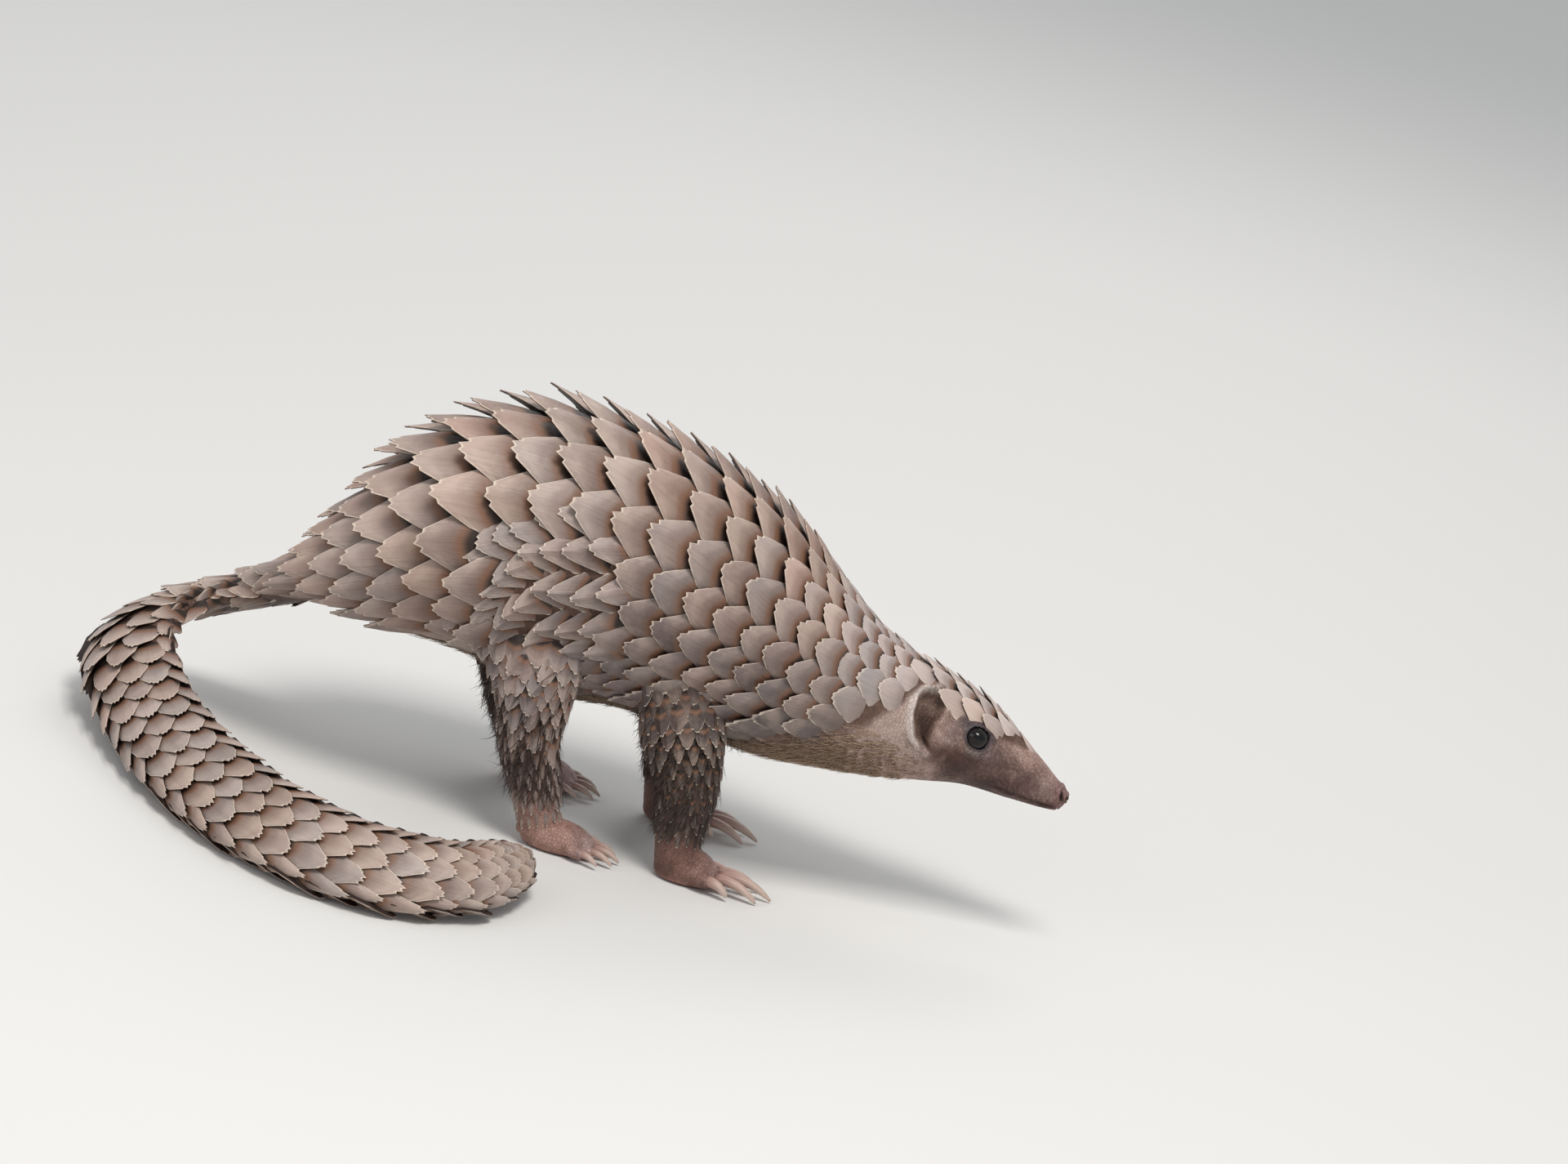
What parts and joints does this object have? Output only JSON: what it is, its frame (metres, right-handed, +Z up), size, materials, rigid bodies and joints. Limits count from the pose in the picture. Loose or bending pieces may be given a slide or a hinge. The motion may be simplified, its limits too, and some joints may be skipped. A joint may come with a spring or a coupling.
{
  "type": "pangolin",
  "caption": "Life-size tree pangolin walking with arched back and low head, scaled all over, tail swung round to its near side; a still display model.",
  "frame": {"origin": "middle of the animal's outline on the floor it stands on", "axes": "+X from tail to nose, the way the animal faces; +Y to the animal's left; +Z up"},
  "size_m": [0.4356, 0.2491, 0.1856],
  "materials": {
    "body_scales": "horn scales, taupe grey with pale worn edges and orange-brown roots",
    "tail_scales": "horn scales, grey brown, satin",
    "head": "bare skin, brown and pinkish grey, fine wrinkles",
    "ear": "bare skin, pale, soft",
    "eye": "wet, near black",
    "leg": "dark skin with sparse stiff hair and small keeled scales",
    "foot": "bare wrinkled skin, pinkish brown",
    "claw": "horn, worn, paler to the tip"
  },
  "bodies": {
    "root": {"head": "head", "eye_right": "eye", "ear_right": "ear", "eye_left": "eye", "ear_left": "ear", "neck": "body_scales", "torso": "body_scales", "tail_1": "tail_scales", "tail_2": "tail_scales", "tail_3": "tail_scales", "tail_4": "tail_scales", "tail_5": "tail_scales", "tail_6": "tail_scales", "tail_7": "tail_scales", "hind_leg_right": "leg", "hind_foot_right": "foot", "hind_claw_right_1": "claw", "hind_claw_right_2": "claw", "hind_claw_right_3": "claw", "hind_claw_right_4": "claw", "hind_claw_right_5": "claw", "hind_leg_left": "leg", "hind_foot_left": "foot", "hind_claw_left_1": "claw", "hind_claw_left_2": "claw", "hind_claw_left_3": "claw", "hind_claw_left_4": "claw", "hind_claw_left_5": "claw", "fore_leg_right": "leg", "fore_foot_right": "foot", "fore_claw_right_1": "claw", "fore_claw_right_2": "claw", "fore_claw_right_3": "claw", "fore_claw_right_4": "claw", "fore_claw_right_5": "claw", "fore_leg_left": "leg", "fore_foot_left": "foot", "fore_claw_left_1": "claw", "fore_claw_left_2": "claw", "fore_claw_left_3": "claw", "fore_claw_left_4": "claw", "fore_claw_left_5": "claw"}
  },
  "joints": []
}
